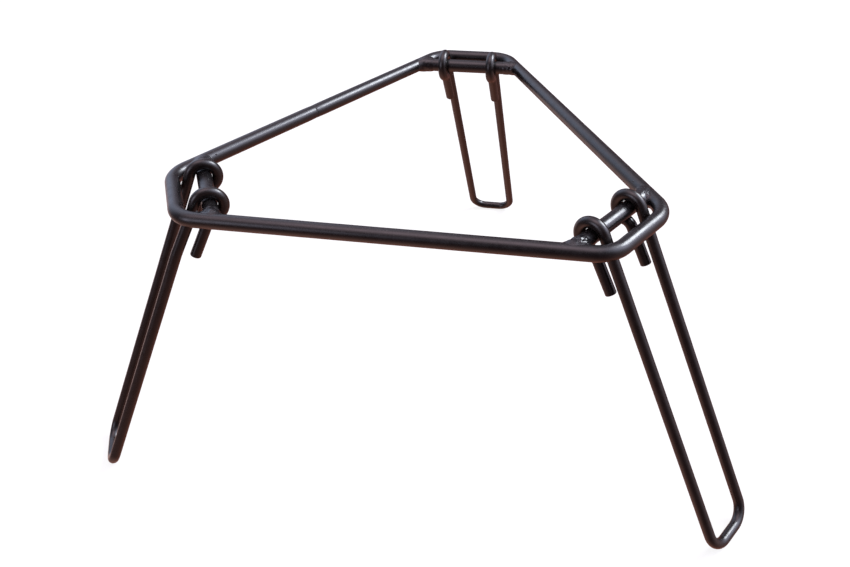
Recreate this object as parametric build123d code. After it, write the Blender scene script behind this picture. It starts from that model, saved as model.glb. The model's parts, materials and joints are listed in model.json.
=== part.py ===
"""Folding wire tripod stand.

A triangular ring of round wire with its three corners cut off carries a short cross bar inside
each corner. A hairpin leg of thinner wire hangs on every cross bar by two eyes, rests against
the corner of the ring when it is spread, and folds inward to lie under the ring.

Frame: millimetres, +Z up, the feet stand on Z = 0, and the ring's centre is on the Z axis.
The back corner points along +Y, the right corner towards -30 degrees and the left one to 210.
"""

import os
from math import cos, radians, sin, tan

from build123d import *

# Ring
RING_WIRE = 4.3  # wire diameter of the ring and of the cross bars
LONG_SIDE_RADIUS = 46.7  # ring centre to the centreline of a long side
SHORT_SIDE_RADIUS = 72.1  # ring centre to the centreline of a short corner side
RING_BEND = 8.6  # bend radius at the wire's centreline
SEAM_OFFSET = 3.5  # butt weld, from the middle of the back left side towards the left corner
SEAM_GAP = 0.3  # gap between the two wire ends, filled by the weld
SEAM_EDGE = 0.15  # rounding of the two wire ends
SEAM_DEPTH = 0.12  # how far the ground-down weld lies below the wire's surface

# Cross bars and their welds
PIVOT_RADIUS = 63.4  # ring centre to the axis of a cross bar
BEAD_RADIUS = 3.0  # main lump of a weld bead
BEAD_SIDE_RADIUS = 2.5  # the two smaller lumps beside it, along the ring wire
BEAD_SPREAD = 1.4  # distance from the main lump to each smaller one
BEAD_SIDE_DROP = 0.3  # the smaller lumps sit a little lower

# Legs
LEG_WIRE = 3.1  # wire diameter
LEG_LENGTH = 98.0  # hinge axis to the centreline of the foot, along the leg
LEG_SPACING = 16.8  # between the centrelines of a leg's two wires
FOOT_BEND = 5.5  # bend radius at the wire's centreline
SPLAY = 27.0  # leg to vertical, with the leg resting on the ring
EYE_RADIUS = 3.8  # eye round the cross bar, to the wire's centreline
EYE_WRAP = 53.7  # how far the eye goes on past the half turn, degrees
TAIL_BEND = 3.0  # bend back towards the leg, below the eye
TAIL_LEAN = 2.5  # the tail closes on its leg by this angle, degrees
TAIL_LENGTH = 11.0  # straight end of the wire beside the leg
TAIL_EDGE = 0.35  # rounding of the cut end

CORNERS = {"back": 90.0, "right": -30.0, "left": 210.0}

PIVOT_REACH = (2 * LONG_SIDE_RADIUS - PIVOT_RADIUS) * tan(radians(30))  # bar middle to ring wire
foot_drop = LEG_LENGTH * cos(radians(SPLAY)) - EYE_RADIUS * sin(radians(SPLAY))
ring_height = foot_drop + LEG_WIRE / 2


def radial(angle, radius, height=0.0):
    """Point at a compass angle and distance from the Z axis."""
    return Vector(radius * cos(radians(angle)), radius * sin(radians(angle)), height)


def wire(path, diameter):
    """Round wire along a smooth path."""
    section = Plane(origin=path @ 0, z_dir=path % 0) * Circle(diameter / 2)
    return sweep(section, path=path)


def ring_corner_points():
    """The six sharp corners of the ring's centreline, in order from the back left side."""
    half_short = (2 * LONG_SIDE_RADIUS - SHORT_SIDE_RADIUS) * tan(radians(30))
    points = []
    for angle in (90, -30, -150):
        middle = radial(angle, SHORT_SIDE_RADIUS, ring_height)
        along = radial(angle - 90, half_short)
        points += [middle - along, middle + along]
    return points


def ring_paths():
    """Centreline of the open ring wire, and of the seam that closes it."""
    direction = radial(60, 1)
    seam = radial(150, LONG_SIDE_RADIUS, ring_height) - direction * SEAM_OFFSET
    start = seam + direction * (SEAM_GAP / 2)
    end = seam - direction * (SEAM_GAP / 2)
    path = FilletPolyline(start, *ring_corner_points(), end, radius=RING_BEND)
    return path, Line(start, end)


def rounded_ends(bent_wire, radius):
    """The same wire with the rims of its two cut ends rounded."""
    rims = bent_wire.faces().filter_by(GeomType.PLANE).edges()
    return fillet(rims, radius)


def ring(path):
    """Ring wire with rounded rims at the seam."""
    return rounded_ends(wire(path, RING_WIRE), SEAM_EDGE)


def butt_weld(seam):
    """Disc of weld metal between the ring wire's two ends, ground a little below the wire."""
    return wire(seam, RING_WIRE - 2 * SEAM_DEPTH)


def bar_middle(angle):
    """Middle of a cross bar's axis."""
    return radial(angle, PIVOT_RADIUS, ring_height)


def long_side(angle):
    """The straight run of one long side, which the cross bars' ends meet."""
    middle = radial(angle, LONG_SIDE_RADIUS, ring_height)
    along = radial(angle + 90, PIVOT_RADIUS)
    return wire(Line(middle - along, middle + along), RING_WIRE)


def pivot_bar(angle):
    """Straight bar across a corner, its two ends coped to the ring wire."""
    along = radial(angle - 90, PIVOT_REACH)
    bar = wire(Line(bar_middle(angle) - along, bar_middle(angle) + along), RING_WIRE)
    return bar - long_side(angle - 60) - long_side(angle + 60)


def weld_bead(angle, side):
    """Three lumps of weld metal where one end of a cross bar meets the ring."""
    to_ring_surface = PIVOT_REACH - RING_WIRE / 2 / sin(radians(60))
    centre = bar_middle(angle) + radial(angle - 90, side * to_ring_surface)
    along_ring = radial(angle + side * 30, 1)
    lump = Plane(origin=centre, x_dir=radial(angle + side * 30 + 90, 1), z_dir=along_ring)
    bead = lump * Sphere(BEAD_RADIUS)
    for way in (-1, 1):
        shift = along_ring * (way * BEAD_SPREAD) - Vector(0, 0, BEAD_SIDE_DROP)
        bead += Plane(origin=centre + shift, x_dir=lump.x_dir, z_dir=along_ring) * Sphere(
            BEAD_SIDE_RADIUS
        )
    whole_bar = wire(
        Line(bar_middle(angle), bar_middle(angle) + radial(angle - 90, side * PIVOT_RADIUS)),
        RING_WIRE,
    )
    return bead - long_side(angle - side * 60) - whole_bar


def leg(angle):
    """Hairpin leg: foot, two legs, and at each top an eye and a tail, all one wire."""
    down = radial(angle, sin(radians(SPLAY)), -cos(radians(SPLAY)))
    out = radial(angle, cos(radians(SPLAY)), sin(radians(SPLAY)))
    across = radial(angle - 90, 1)
    hinge = radial(angle, PIVOT_RADIUS, ring_height)

    def place(side, outward, below):
        return hinge + across * (side * LEG_SPACING / 2) + out * outward + down * below

    def around(side, centre, radius, degrees):
        outward, below = centre
        turn = radians(degrees)
        return place(side, outward + radius * cos(turn), below - radius * sin(turn))

    eye_end = 180 + EYE_WRAP
    bend_start = EYE_WRAP
    bend_outward = (EYE_RADIUS + TAIL_BEND) * cos(radians(eye_end))
    bend_below = -(EYE_RADIUS + TAIL_BEND) * sin(radians(eye_end))
    bend_centre = (bend_outward, bend_below)
    tail_along = down * cos(radians(TAIL_LEAN)) + out * sin(radians(TAIL_LEAN))

    edges = []
    for side in (-1, 1):
        eye = [around(side, (0, 0), EYE_RADIUS, a) for a in (0, eye_end / 2, eye_end)]
        bend_middle = (bend_start + TAIL_LEAN) / 2
        bend = [around(side, bend_centre, TAIL_BEND, a)
                for a in (bend_start, bend_middle, TAIL_LEAN)]
        hook = [ThreePointArc(*eye), ThreePointArc(*bend)]
        hook.append(Line(bend[-1], bend[-1] + tail_along * TAIL_LENGTH))
        edges += hook
    hairpin = FilletPolyline(
        place(-1, EYE_RADIUS, 0),
        place(-1, EYE_RADIUS, LEG_LENGTH),
        place(1, EYE_RADIUS, LEG_LENGTH),
        place(1, EYE_RADIUS, 0),
        radius=FOOT_BEND,
    )
    path = Wire(edges + hairpin.edges())
    return rounded_ends(wire(path, LEG_WIRE), TAIL_EDGE)


def main():
    ring_path, seam_path = ring_paths()
    nodes = {"ring_frame": ring(ring_path), "ring_butt_weld": butt_weld(seam_path)}
    for name, angle in CORNERS.items():
        nodes[f"pivot_bar_{name}"] = pivot_bar(angle)
        for side, label in ((-1, "a"), (1, "b")):
            nodes[f"bar_weld_{name}_{label}"] = weld_bead(angle, side)
        nodes[f"leg_{name}"] = leg(angle)

    os.makedirs("parts", exist_ok=True)
    for name, shape in nodes.items():
        export_step(shape, f"parts/{name}.step")
    print("ring plane height", round(ring_height, 2))


main()
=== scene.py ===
import json
import math
import random

import bmesh
import bpy
import numpy as np
from mathutils import Matrix, Vector, noise


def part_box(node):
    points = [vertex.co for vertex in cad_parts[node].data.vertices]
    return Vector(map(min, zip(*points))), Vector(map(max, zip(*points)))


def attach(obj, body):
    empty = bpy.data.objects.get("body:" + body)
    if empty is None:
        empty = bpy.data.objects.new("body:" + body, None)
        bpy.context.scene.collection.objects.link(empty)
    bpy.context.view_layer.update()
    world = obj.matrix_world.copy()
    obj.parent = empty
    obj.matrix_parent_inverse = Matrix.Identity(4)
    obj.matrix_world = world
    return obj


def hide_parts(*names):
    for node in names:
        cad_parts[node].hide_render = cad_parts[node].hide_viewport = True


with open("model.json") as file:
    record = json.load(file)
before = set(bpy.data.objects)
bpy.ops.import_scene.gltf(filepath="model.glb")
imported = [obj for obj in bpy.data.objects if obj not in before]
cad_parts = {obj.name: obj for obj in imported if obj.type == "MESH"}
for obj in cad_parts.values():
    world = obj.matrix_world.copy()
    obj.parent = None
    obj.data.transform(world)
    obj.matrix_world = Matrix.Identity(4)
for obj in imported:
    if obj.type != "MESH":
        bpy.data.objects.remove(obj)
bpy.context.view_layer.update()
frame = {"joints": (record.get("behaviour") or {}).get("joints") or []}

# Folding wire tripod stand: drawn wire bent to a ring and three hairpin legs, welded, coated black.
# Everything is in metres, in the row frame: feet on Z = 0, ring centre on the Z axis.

MM = 0.001
CORNERS = ("back", "right", "left")
HALF_CORNER = math.radians(30)  # half the angle between the ring's long sides

# The bends, which the frame's boxes don't give. All radii are to the middle of the wire.
RING_BEND = 8.6 * MM
FOOT_BEND = 5.5 * MM
EYE_RADIUS = 3.8 * MM
EYE_WRAP = math.radians(53.7)  # how far the eye closes beyond half a turn
TAIL_BEND = 3.0 * MM
TAIL_LEAN = math.radians(2.5)
TAIL_LENGTH = 11.0 * MM
EYE_REST = 0.08 * MM  # how far the eyes sit outward of the bars' axes, taking up their play

# The left leg isn't quite straight: its front wire stands a little outward of the rear one
NECK = (4.5 * MM, 17.0 * MM)  # down the leg, from the pivot: where the wire bends below the eye
LEFT_LEG_BENT = 0.70 * MM  # how far the front wire is bent outward
LEFT_LEG_DRAWN = 0.46 * MM  # and how far its foot is drawn towards the other wire
REAR_FOOT_SHARE = 0.2  # of the bend, taken inward by the rear wire's foot

# The ring's butt weld, and the broken edges of the cut wires
SEAM_HALF = 0.15 * MM  # half the gap between the ring wire's ends
SEAM_SUNK = 0.12 * MM  # how far the weld lies below the wire
SEAM_DIP = 0.07 * MM  # how much the wire beside it was ground down
SEAM_DIP_REACH = 1.6 * MM
SEAM_WELD_EDGE = 0.05 * MM
SEAM_EDGE = 0.15 * MM
BAR_EDGE = 0.3 * MM
TAIL_EDGE = 0.35 * MM

# Mesh fineness
RUN_STEP = 0.55 * MM  # between rings of vertices on a straight run
BAR_STEP = 0.4 * MM  # on a cross bar
SEAM_STEP = 0.05 * MM  # on the butt weld
BEND_STEP = 0.3 * MM  # and on a bend
STRAIGHT = 1e-4  # radians: a smaller turn than this is no bend
RING_AROUND = 48
LEG_AROUND = 40

# The coat's own shape
SAG = 0.03 * MM  # long, slow variation in thickness
SAG_SIZE = 6.0 * MM
PEEL = 0.003 * MM  # orange peel
PEEL_SIZE = 1.3 * MM

# The coat's pattern, in waves per metre, and its colours
CLOUD_WAVES = 140.0
PATCH_WAVES = 520.0
PEEL_WAVES = 1100.0
SCUFF_WAVES = 1500.0
GRIT_WAVES = 2100.0
DUST_WAVES = 3200.0
GRAIN_WAVES = 5200.0
STOP_RUB = 4.0 * MM  # how far the coat is rubbed round the places where a leg rests on the ring
BAR_RUB = 4.5 * MM  # and round the eyes, on the bars
EYE_RUB = 3.2 * MM  # and on the legs
DUST_COLOUR = (0.05, 0.048, 0.046, 1.0)
SCUFF_COLOUR = (0.09, 0.088, 0.09, 1.0)
COAT_IOR = 1.6

UP = np.array((0.0, 0.0, 1.0))


def unit(v):
    return v / np.linalg.norm(v)


def turned(degrees, radius, height=0.0):
    """The point at this angle from the X axis and this far from the Z axis."""
    a = math.radians(degrees)
    return np.array((radius * math.cos(a), radius * math.sin(a), height))


def hinge(corner):
    """Middle of a cross bar's axis, and the direction that its corner points in."""
    joint = next(j for j in frame["joints"] if j["name"] == f"leg_{corner}_fold")
    middle = np.array(joint["pos_m"])
    return middle, unit(middle * (1, 1, 0))


# ---------------------------------------------------------------- sizes read from the frame

ring_low, ring_high = (np.array(v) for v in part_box("ring_frame"))
foot_low, foot_high = (np.array(v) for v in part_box("leg_back"))
back_hinge = hinge("back")[0]
ring_height = back_hinge[2]
pivot_radius = back_hinge[1]
ring_wire = (ring_high[2] - ring_low[2]) / 2  # radius of the ring wire and the cross bars
long_side = -ring_low[1] - ring_wire  # Z axis to a long side
short_side = ring_high[1] - ring_wire  # Z axis to a short side
pivot_reach = (2 * long_side - pivot_radius) * math.tan(HALF_CORNER)  # half a bar, to the long sides' axes
bar_to_bend = (short_side - pivot_radius) / math.cos(HALF_CORNER) - RING_BEND * math.tan(HALF_CORNER)
leg_wire = foot_high[2] - ring_height - EYE_RADIUS
leg_spacing = foot_high[0] - foot_low[0] - 2 * leg_wire
foot_out = foot_high[1] - leg_wire - pivot_radius
foot_drop = ring_height - leg_wire
leg_length = math.sqrt(foot_out**2 + foot_drop**2 - EYE_RADIUS**2)
splay = math.atan2(foot_out, foot_drop) - math.atan2(EYE_RADIUS, leg_length)
seam_low, seam_high = (np.array(v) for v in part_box("ring_butt_weld"))
seam_middle = (seam_low + seam_high) / 2
towards_back = turned(60, 1)  # along the back left side, where the seam is


# ---------------------------------------------------------------- routes of the wires

def run(start, end, step=RUN_STEP):
    """Points from start to end, without the last one."""
    count = max(1, math.ceil(np.linalg.norm(end - start) / step))
    return [start + (end - start) * i / count for i in range(count)]


def rounded(corners, bend):
    """Points along straight runs with an arc of the same radius at every corner."""
    points = []
    last = corners[0]
    for before, corner, after in zip(corners, corners[1:], corners[2:]):
        back, forth = unit(before - corner), unit(after - corner)
        half = math.acos(np.clip(back @ forth, -1, 1)) / 2
        turn = math.pi - 2 * half
        if turn < STRAIGHT:
            continue
        reach = bend / math.tan(half)
        centre = corner + unit(back + forth) * bend / math.sin(half)
        points += run(last, corner + back * reach)
        arm = corner + back * reach - centre
        side = unit(np.cross(np.cross(arm, back * -1), arm))
        count = math.ceil(turn * bend / BEND_STEP)
        for i in range(count):
            a = turn * i / count
            points.append(centre + arm * math.cos(a) + side * bend * math.sin(a))
        last = corner + forth * reach
    points += run(last, corners[-1]) + [corners[-1]]
    return points


def ring_route():
    """Once round the ring, from one side of the seam to the other."""
    half_short = (2 * long_side - short_side) * math.tan(HALF_CORNER)
    corners = [seam_middle + towards_back * SEAM_HALF]
    for degrees in (90, -30, -150):
        middle = turned(degrees, short_side, ring_height)
        along = turned(degrees - 90, half_short)
        corners += [middle - along, middle + along]
    corners.append(seam_middle - towards_back * SEAM_HALF)
    return rounded(corners, RING_BEND)


def hook():
    """Eye, tail bend and tail in the plane across the bar: (outward, down the leg) from the hinge."""
    eye_end = math.pi + EYE_WRAP
    points = []
    count = math.ceil(eye_end * EYE_RADIUS / BEND_STEP)
    for i in range(count):
        a = eye_end * i / count
        points.append((EYE_RADIUS * math.cos(a), -EYE_RADIUS * math.sin(a)))
    centre = [(EYE_RADIUS + TAIL_BEND) * f for f in (math.cos(eye_end), -math.sin(eye_end))]
    count = math.ceil((EYE_WRAP - TAIL_LEAN) * TAIL_BEND / BEND_STEP)
    for i in range(count + 1):
        a = EYE_WRAP + (TAIL_LEAN - EYE_WRAP) * i / count
        points.append((centre[0] + TAIL_BEND * math.cos(a), centre[1] - TAIL_BEND * math.sin(a)))
    start = np.array(points.pop())
    end = start + np.array((math.sin(TAIL_LEAN), math.cos(TAIL_LEAN))) * TAIL_LENGTH
    return points + run(start, end) + [end]


def leg_route(corner):
    """One hairpin leg, from one tail to the other."""
    middle, away = hinge(corner)
    down = away * math.sin(splay) - UP * math.cos(splay)
    out = away * math.cos(splay) + UP * math.sin(splay)
    across = np.cross(away, UP)

    def place(side, outward, below):
        return middle + across * (side * leg_spacing / 2) + out * outward + down * below

    def eye(side):
        return [place(side, *p) + away * EYE_REST for p in hook()]

    bent, drawn = (LEFT_LEG_BENT, LEFT_LEG_DRAWN) if corner == "left" else (0, 0)
    first, last = eye(-1), eye(1)
    front_foot = place(-1, EYE_RADIUS + bent, leg_length + bent * math.tan(splay)) + across * drawn
    rear_foot = place(1, EYE_RADIUS, leg_length) - away * bent * REAR_FOOT_SHARE
    hairpin = rounded([first[0], place(-1, EYE_RADIUS, NECK[0]), place(-1, EYE_RADIUS + bent, NECK[1]),
                       front_foot, rear_foot, place(1, EYE_RADIUS, NECK[0]), last[0]], FOOT_BEND)
    return first[:0:-1] + hairpin + last[1:]


# ---------------------------------------------------------------- wire meshes

def frames_along(points):
    """Tangent and two cross directions at every point, turned as little as possible."""
    tangents = np.gradient(points, axis=0)
    tangents /= np.linalg.norm(tangents, axis=1)[:, None]
    normal = np.cross(tangents[0], UP)
    if np.linalg.norm(normal) < 0.1:
        normal = np.cross(tangents[0], (1.0, 0.0, 0.0))
    normals = []
    for tangent in tangents:
        normal = unit(normal - (normal @ tangent) * tangent)
        normals.append(normal)
    normals = np.array(normals)
    return tangents, normals, np.cross(tangents, normals)


def coat(points, seed):
    """How far the coated surface lies below the full wire size at each point."""
    shift = Vector((seed * 0.37, seed * 0.11, seed * 0.73))  # each wire has its own part of the noise
    depth = np.empty(len(points))
    for i, p in enumerate(points):
        v = Vector(p)
        sag = 0.5 + 0.5 * noise.noise(v / SAG_SIZE + shift)
        peel = 0.5 + 0.5 * noise.noise(v / PEEL_SIZE + shift)
        depth[i] = SAG * sag + PEEL * peel
    return depth


def wire_mesh(name, route, radius, around, edge, seed, dip=None):
    """Closed mesh of a round wire with flat cut ends and rounded rims. dip makes it thinner in places."""
    route = np.array(route)
    tangents, normals, binormals = frames_along(route)
    lengths = np.concatenate(([0], np.cumsum(np.linalg.norm(np.diff(route, axis=0), axis=1))))
    total = lengths[-1]
    rims = [(edge * (1 - math.cos(a)), radius - edge + edge * math.sin(a))
            for a in np.linspace(0, math.pi / 2, 5)]
    inner = [(0.0, (radius - edge) * f) for f in (0.35, 0.7)]
    clear = edge * 1.3
    body = [s for s in lengths if clear < s < total - clear]
    stations = inner + rims + [(s, radius) for s in body]
    stations += [(total - s, r) for s, r in reversed(rims)]
    stations += [(total - s, r) for s, r in reversed(inner)]

    along = np.array([s for s, r in stations])
    size = np.array([r for s, r in stations])

    def at(values):
        return np.stack([np.interp(along, lengths, values[:, k]) for k in range(3)], axis=1)

    centre, side, over = at(route), at(normals), at(binormals)
    angle = np.linspace(0, 2 * math.pi, around, endpoint=False)
    ray = (side[:, None] * np.cos(angle)[None, :, None]
           + over[:, None] * np.sin(angle)[None, :, None])
    ray /= np.linalg.norm(ray, axis=2)[:, :, None]
    surface = centre[:, None] + ray * radius
    depth = coat(surface.reshape(-1, 3), seed).reshape(len(stations), around)
    if dip is not None:
        depth = depth + dip(along, total)[:, None]
    depth *= (size / radius)[:, None]
    verts = (centre[:, None] + ray * (size[:, None] - depth)[:, :, None]).reshape(-1, 3)
    poles = np.array([centre[0], centre[-1]])
    verts = np.concatenate([verts, poles])

    faces = []
    rows = len(stations)
    for i in range(rows - 1):
        for j in range(around):
            k = (j + 1) % around
            faces.append((i * around + j, i * around + k, (i + 1) * around + k, (i + 1) * around + j))
    first, last = rows * around, rows * around + 1
    for j in range(around):
        k = (j + 1) % around
        faces.append((first, k, j))
        faces.append((last, (rows - 1) * around + j, (rows - 1) * around + k))
    return add_mesh(name, verts, faces)


def add_mesh(name, verts, faces):
    mesh = bpy.data.meshes.new(name)
    mesh.from_pydata([tuple(v) for v in verts], [], [tuple(f) for f in faces])
    work = bmesh.new()
    work.from_mesh(mesh)
    bmesh.ops.recalc_face_normals(work, faces=work.faces)
    work.to_mesh(mesh)
    work.free()
    mesh.polygons.foreach_set("use_smooth", [True] * len(mesh.polygons))
    piece = bpy.data.objects.new(name, mesh)
    bpy.context.scene.collection.objects.link(piece)
    return piece


def mark(piece, name, values):
    """Stores one number per vertex, for the materials to read."""
    layer = piece.data.attributes.new(name, "FLOAT", "POINT")
    layer.data.foreach_set("value", np.asarray(values, np.float32))


def vertices(piece):
    co = np.empty(len(piece.data.vertices) * 3)
    piece.data.vertices.foreach_get("co", co)
    return co.reshape(-1, 3)


# ---------------------------------------------------------------- weld beads

BEAD_FADE = 3.6 * MM  # the weld metal thins out to nothing this far from the joint's toe
BEAD_SUNK_FROM = 2.9 * MM  # and from here on it sinks into the wires
BEAD_END = 4.3 * MM  # where it ends, inside them
BEAD_FAR = 3.0 * MM  # spatter starts this far along the ring from the joint
BEAD_SEARCH = (0.2, 7.0, 0.1)  # start, end and step of the search along each ray, in millimetres
BEAD_STEP = BEAD_SEARCH[2] * MM
BEAD_HALVINGS = 14  # of that step, to close in on the surface
LUMP_WAVES_ROUND = 2.6  # noise waves over the unit ball of rays, for the lumps
GRIT_WAVES_ROUND = 6.5  # and for the grit
SPATTER_RADII = (0.12, 0.28)  # in millimetres

# How big and how rough each bead is: right b, at the front, is the lumpiest, and back a is the smoothest
BEADS = {
    "bar_weld_back_a": (0.95, 0.10),
    "bar_weld_back_b": (0.20, 0.20),
    "bar_weld_right_a": (0.55, 0.30),
    "bar_weld_right_b": (0.95, 1.20),
    "bar_weld_left_a": (0.85, 0.80),
    "bar_weld_left_b": (0.70, 0.20),
}


def add_spatter(verts, faces, place, radius):
    """A droplet of weld metal, half sunk in the wire."""
    drop = bmesh.new()
    bmesh.ops.create_icosphere(drop, subdivisions=2, radius=radius)
    first = len(verts)
    verts += [place + np.array(v.co) for v in drop.verts]
    faces += [[first + v.index for v in f.verts] for f in drop.faces]
    drop.free()


def smooth_min(a, b, blend):
    h = np.maximum(blend - np.abs(a - b), 0) / blend
    return np.minimum(a, b) - h * h * blend / 4


def weld_bead(name, corner, side):
    """Weld metal between a cross bar's end and the ring's inner side, found along rays from inside."""
    size, rough = BEADS[name]
    middle, away = hinge(corner)
    bar = np.cross(away, UP) * side
    joint = middle + bar * pivot_reach
    along = unit(turned(math.degrees(math.atan2(away[1], away[0]) + side * HALF_CORNER), 1))
    inward = -unit(bar - (bar @ along) * along)
    heart = joint - bar * ring_wire
    toe = joint - bar * ring_wire / math.cos(HALF_CORNER)

    ball = bmesh.new()
    bmesh.ops.create_icosphere(ball, subdivisions=6, radius=1.0)
    rays = np.array([v.co for v in ball.verts])
    faces = [[v.index for v in f.verts] for f in ball.faces]
    ball.free()

    seed = sum(ord(c) for c in name) % 97
    lumps = np.array([noise.noise(Vector(r) * LUMP_WAVES_ROUND + Vector((seed, 0, 0))) for r in rays])
    grit = np.array([noise.fractal(Vector(r) * GRIT_WAVES_ROUND + Vector((0, seed, 0)), 0.7, 2.2, 3)
                     for r in rays])

    def outside(reach):
        """Above 0 outside the weld metal, for a point at this reach along each ray.

        The metal follows the two wires, blended in the angle between them. It stands proud near the
        joint's toe, is lumpy and gritty, and sinks into the wires further out.
        """
        p = heart + rays * reach[:, None]
        from_joint = p - joint
        to_bar = from_joint - np.minimum(from_joint @ bar, 0)[:, None] * bar
        to_ring = from_joint - (from_joint @ along)[:, None] * along
        wires = smooth_min(np.linalg.norm(to_bar, axis=1) - ring_wire,
                           np.linalg.norm(to_ring, axis=1) - ring_wire, (0.7 + 0.6 * size) * MM)
        far = np.linalg.norm((p - toe) @ np.stack([inward, along * 0.8, UP]).T, axis=1)
        fade = np.clip(1 - far / BEAD_FADE, 0, 1)
        inner = np.clip(0.25 + (from_joint @ inward) / ring_wire, 0, 1)
        build = (0.9 * size + lumps * (0.25 + 0.5 * rough) + 0.22 * rough * grit) * fade * inner
        sunk = 0.22 * np.clip((far - BEAD_SUNK_FROM) / (1.0 * MM), 0, 1) + 0.25 * (1 - inner)
        return np.maximum(wires - (build - sunk) * MM, far - BEAD_END)

    low = np.full(len(rays), BEAD_STEP)
    high = low.copy()
    found = np.zeros(len(rays), bool)
    for out in np.arange(*BEAD_SEARCH) * MM:
        beyond = outside(np.full(len(rays), out)) > 0
        fresh = beyond & ~found
        low[fresh], high[fresh] = out - BEAD_STEP, out
        found |= beyond
    for _ in range(BEAD_HALVINGS):
        centre = (low + high) / 2
        beyond = outside(centre) > 0
        high = np.where(beyond, centre, high)
        low = np.where(beyond, low, centre)
    verts = list(heart + rays * ((low + high) / 2)[:, None])

    chance = random.Random(seed)
    for _ in range(round(2 + 6 * rough)):  # droplets of spatter beside the bead
        distance = chance.choice((-1, 1)) * chance.uniform(BEAD_FAR, bar_to_bend)
        lean = math.radians(chance.uniform(15, 100))
        spot = joint + along * distance + (inward * math.sin(lean) + UP * math.cos(lean)) * ring_wire
        add_spatter(verts, faces, spot, chance.uniform(*SPATTER_RADII) * MM)
    return add_mesh(name + "_bead", verts, faces)


# ---------------------------------------------------------------- materials

class Nodes:
    """Shorthand for building one material's node tree, in the object's own space."""

    def __init__(self, name):
        self.material = bpy.data.materials.new(name)
        self.material.use_nodes = True
        self.tree = self.material.node_tree
        self.shader = self.tree.nodes["Principled BSDF"]
        self.object_space = self.add("ShaderNodeTexCoord").outputs["Object"]

    def add(self, kind, **settings):
        node = self.tree.nodes.new(kind)
        for key, value in settings.items():
            setattr(node, key, value)
        return node

    def plug(self, socket, value):
        if isinstance(value, bpy.types.NodeSocket):
            self.tree.links.new(value, socket)
        else:
            socket.default_value = value

    def noise(self, scale, detail, roughness):
        node = self.add("ShaderNodeTexNoise")
        self.plug(node.inputs["Vector"], self.object_space)
        self.plug(node.inputs["Scale"], scale)
        self.plug(node.inputs["Detail"], detail)
        self.plug(node.inputs["Roughness"], roughness)
        return node.outputs["Fac"]

    def range(self, value, low, high, to_low, to_high):
        node = self.add("ShaderNodeMapRange", interpolation_type="SMOOTHSTEP")
        for socket, given in zip(node.inputs, (value, low, high, to_low, to_high)):
            self.plug(socket, given)
        return node.outputs["Result"]

    def maths(self, operation, first, second):
        node = self.add("ShaderNodeMath", operation=operation)
        self.plug(node.inputs[0], first)
        self.plug(node.inputs[1], second)
        return node.outputs["Value"]

    def mix(self, amount, first, second):
        node = self.add("ShaderNodeMix", data_type="RGBA")
        self.plug(node.inputs["Factor"], amount)
        self.plug(node.inputs["A"], first)
        self.plug(node.inputs["B"], second)
        return node.outputs["Result"]

    def attribute(self, name):
        return self.add("ShaderNodeAttribute", attribute_name=name).outputs["Fac"]

    def bump(self, height, distance, strength, under=None):
        node = self.add("ShaderNodeBump")
        self.plug(node.inputs["Height"], height)
        self.plug(node.inputs["Distance"], distance)
        self.plug(node.inputs["Strength"], strength)
        if under is not None:
            self.plug(node.inputs["Normal"], under)
        return node.outputs["Normal"]


def black_coat(name, tone, roughness, gritty=0.0):
    """Semi-gloss black enamel with orange peel, uneven gloss, dust and rubbed places."""
    n = Nodes(name)
    cloud = n.noise(CLOUD_WAVES, 3.0, 0.55)
    patch = n.noise(PATCH_WAVES, 2.0, 0.5)
    speck = n.noise(DUST_WAVES, 1.0, 0.5)
    dark = tuple(c * 0.6 for c in tone) + (1.0,)
    light = tuple(c * 1.5 for c in tone) + (1.0,)
    colour = n.mix(n.range(cloud, 0.35, 0.65, 0.0, 1.0), dark, light)

    # Dust lies on the sides that face up
    facing = n.add("ShaderNodeSeparateXYZ")
    n.plug(facing.inputs[0], n.add("ShaderNodeNewGeometry").outputs["Normal"])
    settled = n.range(facing.outputs["Z"], 0.35, 1.0, 0.0, 1.0)
    dust = n.maths("MULTIPLY", settled, n.range(speck, 0.60, 0.72, 0.0, 0.5))
    colour = n.mix(dust, colour, DUST_COLOUR)

    # Paler scuffs where wires rub
    rubbed = n.attribute("rubbed")
    scuff = n.maths("MULTIPLY", rubbed, n.range(n.noise(SCUFF_WAVES, 3.0, 0.6), 0.5, 0.7, 0.0, 0.5))
    colour = n.mix(scuff, colour, SCUFF_COLOUR)
    n.plug(n.shader.inputs["Base Color"], colour)

    # Uneven gloss, dull under dust and scuffs
    dull = n.range(patch, 0.3, 0.7, roughness - 0.04, roughness + 0.05)
    dull = n.maths("ADD", dull, n.maths("MULTIPLY", dust, 0.25))
    dull = n.maths("ADD", dull, n.maths("MULTIPLY", scuff, 0.18))
    n.plug(n.shader.inputs["Roughness"], dull)
    n.plug(n.shader.inputs["IOR"], COAT_IOR)

    peel = n.bump(n.noise(PEEL_WAVES, 1.5, 0.45), 0.02 * MM, 0.10)
    grain = n.bump(n.noise(GRAIN_WAVES, 2.0, 0.5), 0.004 * MM, 0.15 + 0.5 * gritty, peel)
    if gritty:
        grain = n.bump(n.noise(GRIT_WAVES, 3.0, 0.6), 0.05 * MM, gritty, grain)
    n.plug(n.shader.inputs["Normal"], grain)
    return n.material


# ---------------------------------------------------------------- build

def seam_dip(along, total):
    """The ring wire was ground down a little on both sides of its weld."""
    from_seam = np.minimum(along, total - along)
    return SEAM_DIP * np.exp(-((from_seam / SEAM_DIP_REACH) ** 2))


def near(points, places, reach):
    """1 at the places and 0 beyond reach of all of them."""
    close = np.full(len(points), 1e9)
    for place in places:
        close = np.minimum(close, np.linalg.norm(points - place, axis=1))
    return np.clip(1 - close / reach, 0, 1)


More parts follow.
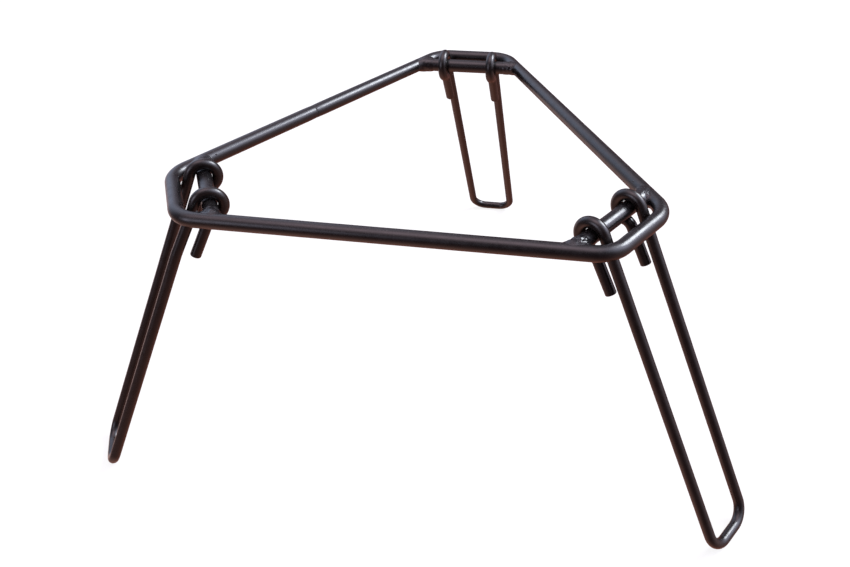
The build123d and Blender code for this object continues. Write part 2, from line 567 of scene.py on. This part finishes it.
def finish_piece(piece, body, node, material, rubbed=None):
    """Gives a piece its coat and its body, and hides the CAD node that it stands in for. rubbed is 0 to 1
    at each vertex, or None.
    """
    mark(piece, "rubbed", np.zeros(len(piece.data.vertices)) if rubbed is None else rubbed)
    piece.data.materials.append(material)
    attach(piece, body)
    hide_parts(node)


ring_coat = black_coat("ring_coat", (0.0032, 0.0028, 0.0030), 0.28)
# The legs' coat is the ring's black enamel tinted warmer brown: a painted reflection of the brown light
# from below.
leg_coat = black_coat("leg_coat", (0.0040, 0.0026, 0.0022), 0.28)
seam_coat = black_coat("seam_coat", (0.0010, 0.0009, 0.0009), 0.60)
weld_coat = black_coat("weld_coat", (0.0060, 0.0058, 0.0066), 0.24, gritty=0.6)

ring = wire_mesh("ring_wire", ring_route(), ring_wire, RING_AROUND, SEAM_EDGE, 1, seam_dip)
stops = []  # where the legs rest against the ring
eyes = []  # where their eyes turn on the bars
for corner in CORNERS:
    middle, away = hinge(corner)
    across = np.cross(away, UP)
    for side in (-1, 1):
        eyes.append(middle + across * side * leg_spacing / 2)
        stops.append(middle + away * (short_side - pivot_radius - ring_wire)
                     + across * side * leg_spacing / 2 - UP * ring_wire * 0.5)
finish_piece(ring, "stand_ring", "ring_frame", ring_coat,
             near(vertices(ring), stops, STOP_RUB))

seam_end = towards_back * SEAM_HALF * 1.5  # a little past the gap, into the ring wire's ends
seam = wire_mesh("seam_weld", run(seam_middle - seam_end, seam_middle + seam_end, SEAM_STEP),
                 ring_wire - SEAM_SUNK, RING_AROUND, SEAM_WELD_EDGE, 2)
finish_piece(seam, "stand_ring", "ring_butt_weld", seam_coat)

for number, corner in enumerate(CORNERS):
    middle, away = hinge(corner)
    across = np.cross(away, UP)
    bar_end = across * (pivot_reach - ring_wire * 0.5)
    bar = wire_mesh(f"cross_bar_{corner}", run(middle - bar_end, middle + bar_end, BAR_STEP),
                    ring_wire, RING_AROUND, BAR_EDGE, 3 + number)
    finish_piece(bar, "stand_ring", f"pivot_bar_{corner}", ring_coat,
                 near(vertices(bar), eyes, BAR_RUB))
    for side, label in ((-1, "a"), (1, "b")):
        node = f"bar_weld_{corner}_{label}"
        bead = weld_bead(node, corner, side)
        finish_piece(bead, "stand_ring", node, weld_coat)
    leg = wire_mesh(f"hairpin_{corner}", leg_route(corner), leg_wire, LEG_AROUND, TAIL_EDGE, 10 + number)
    finish_piece(leg, f"leg_{corner}", f"leg_{corner}", leg_coat,
                 np.maximum(near(vertices(leg), stops, STOP_RUB), near(vertices(leg), eyes, EYE_RUB)))


# ---------------------------------------------------------------- light, floor and camera

def towards(azimuth, elevation):
    """Direction from the X axis round to Y, and up."""
    a, e = math.radians(azimuth), math.radians(elevation)
    return Vector((math.cos(a) * math.cos(e), math.sin(a) * math.cos(e), math.sin(e)))


# Soft glow of the room, as lobes: direction, colour, and how narrow the lobe is
ROOM = [
    ((-160, 79), (2.45, 1.9, 2.15), 10.0),  # ceiling
    ((15, 40), (3.7, 3.8, 4.8), 9.0),  # haze round the window
    ((142, 24), (0.98, 1.18, 1.6), 9.0),  # grey wall behind, on the left
    ((-130, 20), (2.7, 2.6, 3.2), 34.0),  # pale patch in front, on the left
    ((116, 44), (0.55, 0.42, 0.42), 25.0),  # top of the wall behind
    ((147, -22), (0.8, 0.6, 0.55), 12.0),  # low behind, on the left
    ((60, -75), (0.48, 0.14, 0.065), 2.0),  # brown light from below
    ((-135, -55), (0.62, 0.36, 0.30), 6.0),  # and from below on the left
    ((0, -8), (0.30, 0.24, 0.24), 5.0),  # low on the window's side
]
DIM = (0.055, 0.045, 0.06)  # the room's light in every direction

FLOOR_RADIUS = 2.0  # the flat part
FLOOR_CURVE = 1.2  # radius of its upward curve
WALL_TOP = 6.0
FLOOR_GLOW = 0.85


def room_light():
    """The world's light, the sum of the lobes in ROOM."""
    world = bpy.data.worlds.new("room")
    bpy.context.scene.world = world
    world.use_nodes = True
    tree = world.node_tree
    background = tree.nodes["Background"]
    direction = tree.nodes.new("ShaderNodeTexCoord").outputs["Generated"]

    def vector_maths(operation, first, second=None, scale=None):
        node = tree.nodes.new("ShaderNodeVectorMath")
        node.operation = operation
        for socket, value in ((node.inputs[0], first), (node.inputs[1], second), (node.inputs[3], scale)):
            if isinstance(value, bpy.types.NodeSocket):
                tree.links.new(value, socket)
            elif value is not None:
                socket.default_value = value
        return node

    def maths(operation, first, second=0.0, third=0.0):
        node = tree.nodes.new("ShaderNodeMath")
        node.operation = operation
        for socket, value in zip(node.inputs, (first, second, third)):
            if isinstance(value, bpy.types.NodeSocket):
                tree.links.new(value, socket)
            else:
                socket.default_value = value
        return node.outputs["Value"]

    total = DIM
    for (azimuth, elevation), colour, narrow in ROOM:
        dot = vector_maths("DOT_PRODUCT", direction, towards(azimuth, elevation)).outputs["Value"]
        lobe = maths("EXPONENT", maths("MULTIPLY_ADD", dot, narrow, -narrow))
        part = vector_maths("SCALE", colour, scale=lobe).outputs["Vector"]
        total = vector_maths("ADD", total, part).outputs["Vector"]
    tree.links.new(total, background.inputs["Color"])


def softbox(name, azimuth, elevation, distance, size, power, colour):
    """A rectangular light that faces the ring's centre."""
    light = bpy.data.lights.new(name, "AREA")
    light.shape = "RECTANGLE"
    light.size, light.size_y = size
    light.energy = power
    light.color = colour
    lamp = bpy.data.objects.new(name, light)
    bpy.context.scene.collection.objects.link(lamp)
    aim = Vector((0, 0, ring_height))
    direction = towards(azimuth, elevation)
    lamp.location = aim + direction * distance
    lamp.rotation_mode = "QUATERNION"
    lamp.rotation_quaternion = direction.to_track_quat("Z", "Y")


def studio_floor():
    """A flat pale disc that curves up into a wall all round, so no view has an edge."""
    profile = [(r, 0.0) for r in (0.4, 1.0, FLOOR_RADIUS)]
    for a in np.linspace(0, math.pi / 2, 12)[1:]:
        profile.append((FLOOR_RADIUS + FLOOR_CURVE * math.sin(a), FLOOR_CURVE - FLOOR_CURVE * math.cos(a)))
    profile.append((FLOOR_RADIUS + FLOOR_CURVE, WALL_TOP))
    sides = 96
    verts = [(r * math.cos(2 * math.pi * j / sides), r * math.sin(2 * math.pi * j / sides), z)
             for r, z in profile for j in range(sides)]
    verts.append((0, 0, 0))
    faces = [(len(verts) - 1, (j + 1) % sides, j) for j in range(sides)]
    for i in range(len(profile) - 1):
        for j in range(sides):
            k = (j + 1) % sides
            faces.append((i * sides + j, i * sides + k, (i + 1) * sides + k, (i + 1) * sides + j))
    floor = add_mesh("studio_floor", verts, faces)
    n = Nodes("floor_paper")
    cloud = n.noise(3.0, 2.0, 0.5)
    n.plug(n.shader.inputs["Base Color"], n.mix(cloud, (0.16, 0.16, 0.16, 1), (0.17, 0.17, 0.17, 1)))
    n.plug(n.shader.inputs["Roughness"], 0.9)
    n.plug(n.shader.inputs["Specular IOR Level"], 0.0)
    n.plug(n.shader.inputs["Emission Color"], (1.0, 1.0, 1.0, 1.0))
    n.plug(n.shader.inputs["Emission Strength"], FLOOR_GLOW)
    floor.data.materials.append(n.material)
    floor.visible_glossy = False
    floor.visible_diffuse = False
    floor.visible_shadow = False


# The view: where the camera looks from, its slide off the line through the ring's centre, and its lens
VIEW_AZIMUTH = math.radians(12.289)
VIEW_ELEVATION = math.radians(37.671)
VIEW_ROLL = math.radians(-2.065)
VIEW_DISTANCE = 240.23 * MM
VIEW_SLIDE = (10.94 * MM, -43.96 * MM)  # to the right, up
VIEW_LENS = 34.657
VIEW_SENSOR = 36.0
VIEW_SHIFT = (-0.0466, 0.0184)  # of the lens, in shares of the picture's width


def make_camera():
    back = Vector((math.sin(VIEW_AZIMUTH) * math.cos(VIEW_ELEVATION),
                   -math.cos(VIEW_AZIMUTH) * math.cos(VIEW_ELEVATION), math.sin(VIEW_ELEVATION)))
    level = Vector((0, 0, 1)).cross(back).normalized()
    right = level * math.cos(VIEW_ROLL) + back.cross(level) * math.sin(VIEW_ROLL)
    up = back.cross(right)
    data = bpy.data.cameras.new("view")
    data.sensor_width = VIEW_SENSOR
    data.lens = VIEW_LENS
    data.shift_x, data.shift_y = VIEW_SHIFT
    data.clip_start, data.clip_end = 0.01, 50.0
    camera = bpy.data.objects.new("view", data)
    bpy.context.scene.collection.objects.link(camera)
    place = (Vector((0, 0, ring_height)) + back * VIEW_DISTANCE
             + right * VIEW_SLIDE[0] + up * VIEW_SLIDE[1])
    turn = Matrix((right, up, back)).transposed().to_4x4()
    camera.matrix_world = Matrix.Translation(place) @ turn
    bpy.context.scene.camera = camera


room_light()
softbox("window", azimuth=36, elevation=40, distance=0.9, size=(0.40, 0.34), power=7.0,
        colour=(0.90, 0.95, 1.0))
studio_floor()
make_camera()
bpy.context.scene.view_settings.view_transform = "Standard"
